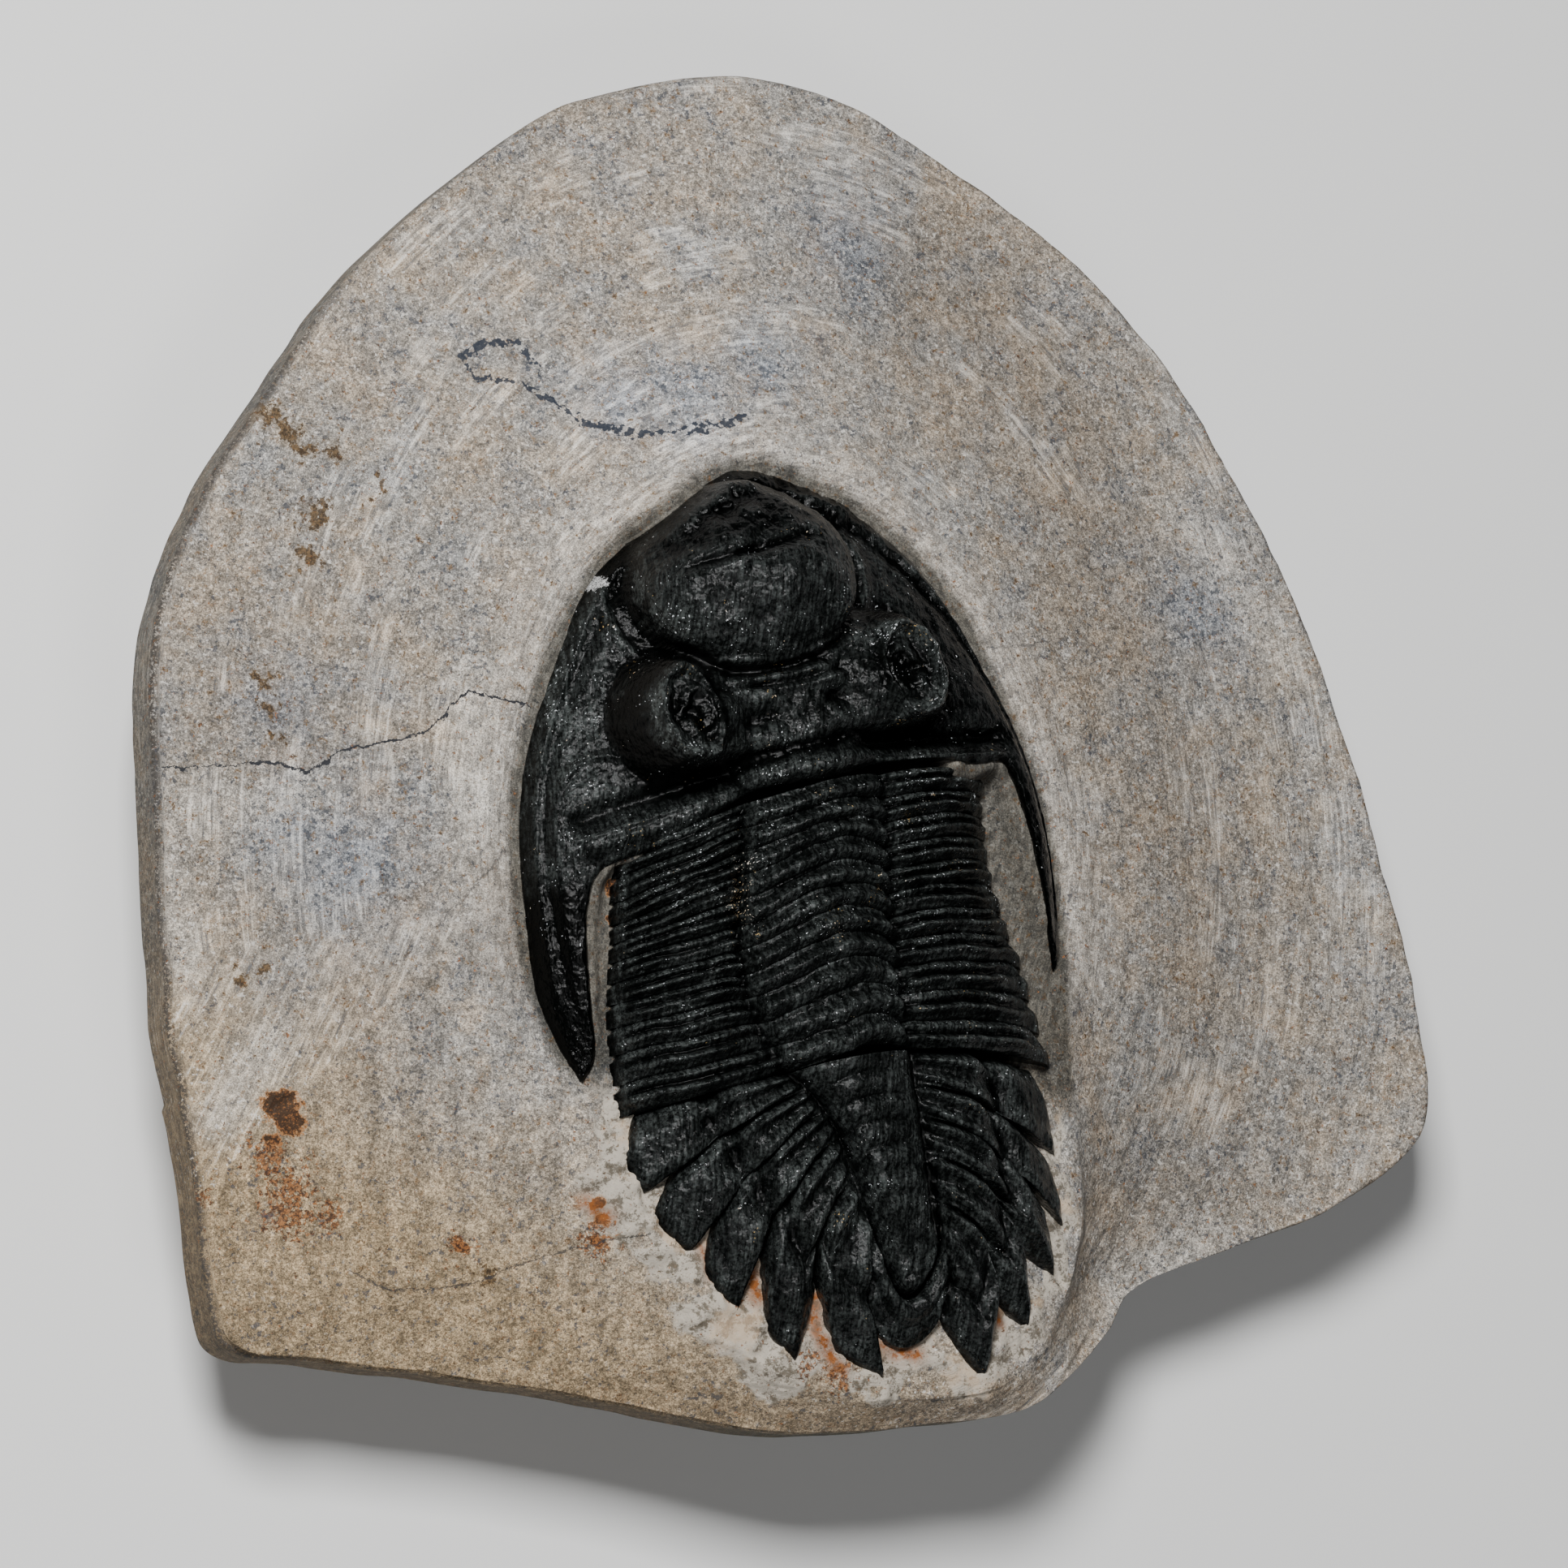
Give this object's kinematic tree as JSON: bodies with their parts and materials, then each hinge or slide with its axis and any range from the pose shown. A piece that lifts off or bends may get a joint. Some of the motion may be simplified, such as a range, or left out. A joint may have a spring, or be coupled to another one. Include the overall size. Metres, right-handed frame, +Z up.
{
  "type": "fossil trilobite on matrix",
  "caption": "Fossil trilobite with crescent eyes, cheek spines, ribbed thorax and a spiny fan tail, lying in relief on a pale domed limestone block.",
  "frame": {"origin": "on the resting plane, under the middle of the block's bounding box", "axes": "+Z up out of the fossil's bed, +Y towards the head end, +X to the animal's right cheek side"},
  "size_m": [0.0828, 0.0804, 0.0271],
  "materials": {
    "limestone": "matt pale grey, tooled, with fine dark specks, hairline cracks and rust stains",
    "black_calcite": "near black, satin, finely grained with small bright glints"
  },
  "bodies": {
    "root": {"matrix": "limestone", "cephalon": "black_calcite", "thorax_segment_01": "black_calcite", "thorax_segment_02": "black_calcite", "thorax_segment_03": "black_calcite", "thorax_segment_04": "black_calcite", "thorax_segment_05": "black_calcite", "thorax_segment_06": "black_calcite", "thorax_segment_07": "black_calcite", "thorax_segment_08": "black_calcite", "thorax_segment_09": "black_calcite", "thorax_segment_10": "black_calcite", "thorax_segment_11": "black_calcite", "pygidium": "black_calcite"}
  },
  "joints": []
}
